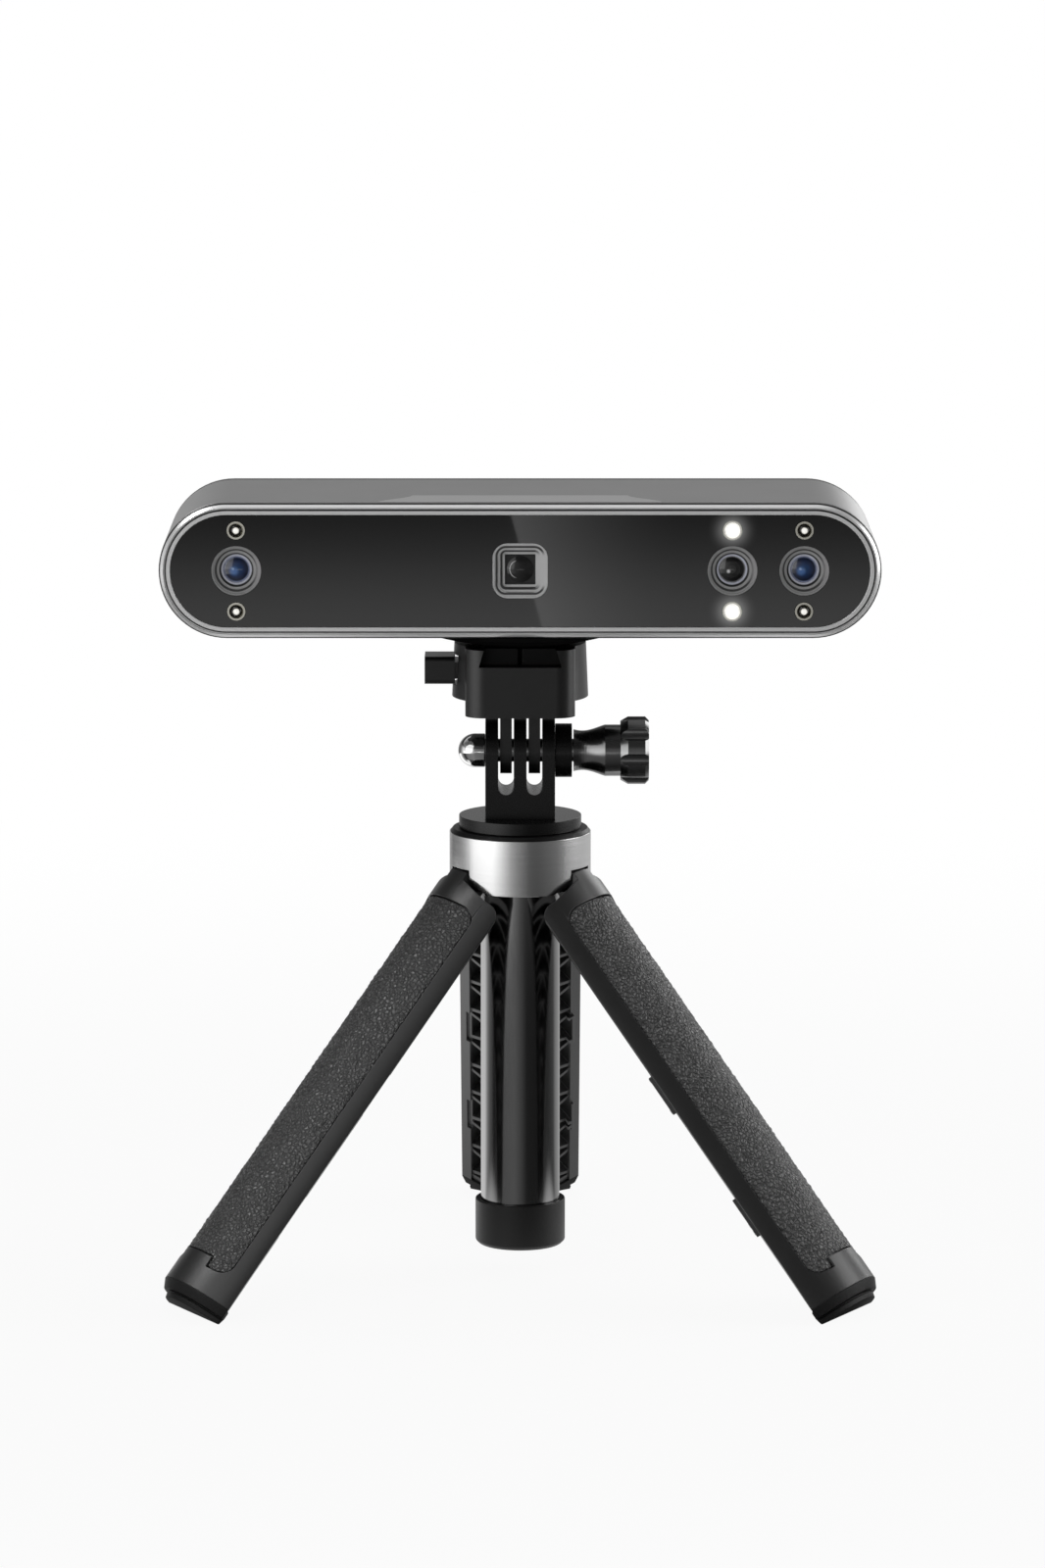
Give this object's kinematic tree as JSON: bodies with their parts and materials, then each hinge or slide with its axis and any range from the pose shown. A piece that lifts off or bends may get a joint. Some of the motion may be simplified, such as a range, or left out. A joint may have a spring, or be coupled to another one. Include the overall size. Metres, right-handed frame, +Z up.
{
  "type": "three-d scanner on folding tripod",
  "caption": "Bar-shaped three-d scanner with dark camera front, on a quick release tilt head and a folding mini tripod with telescoping pole and leather-grain legs.",
  "frame": {"origin": "on the floor, under the axis of the tripod's pole", "axes": "+Z up along the pole, +Y from the scanner's front to its back, +X to the right of a viewer in front"},
  "size_m": [0.153, 0.1359, 0.1712],
  "materials": {
    "sleeve_aluminium": "satin anodised grey",
    "bezel_aluminium": "bright cut edge",
    "inlay_aluminium": "satin, paler than the sleeve",
    "front_glass": "dark gloss",
    "cover_plastic": "fine texture",
    "bench_aluminium": "plain milled",
    "module_black": "matt",
    "depth_lens_glass": "blue coated",
    "colour_lens_glass": "dark coated",
    "baffle_black": "satin steps",
    "infrared_lamp": "clear gloss",
    "white_lamp": "lit",
    "ring_chrome": "polished",
    "board_green": "solder mask",
    "socket_steel": "stamped",
    "light_pipe": "clear",
    "button_plastic": "satin",
    "screw_steel": "plain",
    "insert_brass": "turned",
    "dish_black": "satin",
    "clamp_plastic": "fine satin",
    "tilt_plastic": "satin",
    "knob_black": "gloss black",
    "nut_chrome": "polished",
    "pole_black": "gloss black anodised",
    "guide_plastic": "plain",
    "collar_aluminium": "satin brushed round",
    "leg_plastic": "satin",
    "grip_rubber": "leather grain",
    "foot_rubber": "matt"
  },
  "bodies": {
    "tripod": {"leg_hub": "guide_plastic", "collar": "collar_aluminium", "leg_pins": "screw_steel", "outer_tube": "pole_black", "outer_tube_bush": "guide_plastic", "pole_foot_cap": "foot_rubber"},
    "left_leg": {"left_leg": "leg_plastic", "left_grip": "grip_rubber", "left_foot": "foot_rubber"},
    "right_leg": {"right_leg": "leg_plastic", "right_grip": "grip_rubber", "right_foot": "foot_rubber"},
    "rear_leg": {"rear_leg": "leg_plastic", "rear_grip": "grip_rubber", "rear_foot": "foot_rubber"},
    "lower_stage": {"lower_stage_tube": "pole_black", "lower_stage_rings": "guide_plastic"},
    "upper_stage": {"upper_stage_tube": "pole_black", "upper_stage_slider": "guide_plastic"},
    "pan_base": {"tilt_base": "tilt_plastic", "knob_bush": "tilt_plastic", "cap_nut": "nut_chrome"},
    "thumb_screw": {"tilt_bolt": "screw_steel", "thumb_knob": "knob_black"},
    "tilt_head": {"head_sleeve": "sleeve_aluminium", "front_bezel": "bezel_aluminium", "front_panel": "front_glass", "rear_cover": "cover_plastic", "optical_bench": "bench_aluminium", "left_depth_camera": "module_black", "left_depth_lens": "depth_lens_glass", "right_depth_camera": "module_black", "right_depth_lens": "depth_lens_glass", "colour_camera": "module_black", "colour_lens": "colour_lens_glass", "pattern_projector": "module_black", "projector_lens": "colour_lens_glass", "lens_baffles": "baffle_black", "projector_baffle": "baffle_black", "infrared_leds": "infrared_lamp", "white_leds": "white_lamp", "led_rings": "ring_chrome", "led_boards": "board_green", "main_board": "board_green", "usb_socket": "socket_steel", "status_light": "light_pipe", "button_switches": "module_black", "rear_cover_screws": "screw_steel", "bench_screws": "screw_steel", "mount_insert": "insert_brass", "top_inlay": "inlay_aluminium", "base_saucer": "dish_black", "mount_screw": "screw_steel", "release_plate": "clamp_plastic", "clamp_body": "clamp_plastic", "release_spring": "screw_steel"},
    "release_latch": {"release_latch": "clamp_plastic"},
    "start_button": {"start_button": "button_plastic"},
    "plus_button": {"plus_button": "button_plastic"},
    "minus_button": {"minus_button": "button_plastic"}
  },
  "joints": [
    {"name": "left_leg_hinge", "type": "hinge", "parent": "tripod", "child": "left_leg", "pos_m": [-0.01083, -0.00625, 0.0877], "axis": [0.5, -0.866, 0], "range_deg": [0, 40]},
    {"name": "right_leg_hinge", "type": "hinge", "parent": "tripod", "child": "right_leg", "pos_m": [0.01083, -0.00625, 0.0877], "axis": [0.5, 0.866, 0], "range_deg": [0, 40]},
    {"name": "rear_leg_hinge", "type": "hinge", "parent": "tripod", "child": "rear_leg", "pos_m": [0, 0.0125, 0.0877], "axis": [-1, 0, 0], "range_deg": [0, 40]},
    {"name": "lower_stage_slide", "type": "slide", "parent": "tripod", "child": "lower_stage", "axis": [0, 0, 1], "range_m": [0, 0.065]},
    {"name": "upper_stage_slide", "type": "slide", "parent": "lower_stage", "child": "upper_stage", "axis": [0, 0, 1], "range_m": [0, 0.065]},
    {"name": "pan", "type": "hinge", "parent": "upper_stage", "child": "pan_base", "pos_m": [0, 0, 0.0983], "axis": [0, 0, 1], "continuous": true},
    {"name": "tilt", "type": "hinge", "parent": "pan_base", "child": "tilt_head", "pos_m": [0, 0, 0.1149], "axis": [1, 0, 0], "range_deg": [-80, 80]},
    {"name": "thumb_screw_turn", "type": "hinge", "parent": "pan_base", "child": "thumb_screw", "pos_m": [0, 0, 0.1149], "axis": [1, 0, 0], "continuous": true},
    {"name": "release_latch_press", "type": "slide", "parent": "tilt_head", "child": "release_latch", "axis": [1, 0, 0], "range_m": [0, 0.0022], "stiffness_N_per_m": 800, "springref_m": -0.001, "deforming": ["release_spring"]},
    {"name": "start_button_press", "type": "slide", "parent": "tilt_head", "child": "start_button", "axis": [0, -1, 0], "range_m": [0, 0.0006], "stiffness_N_per_m": 1500, "springref_m": -0.0003},
    {"name": "plus_button_press", "type": "slide", "parent": "tilt_head", "child": "plus_button", "axis": [0, -1, 0], "range_m": [0, 0.0006], "stiffness_N_per_m": 1500, "springref_m": -0.0003},
    {"name": "minus_button_press", "type": "slide", "parent": "tilt_head", "child": "minus_button", "axis": [0, -1, 0], "range_m": [0, 0.0006], "stiffness_N_per_m": 1500, "springref_m": -0.0003}
  ]
}
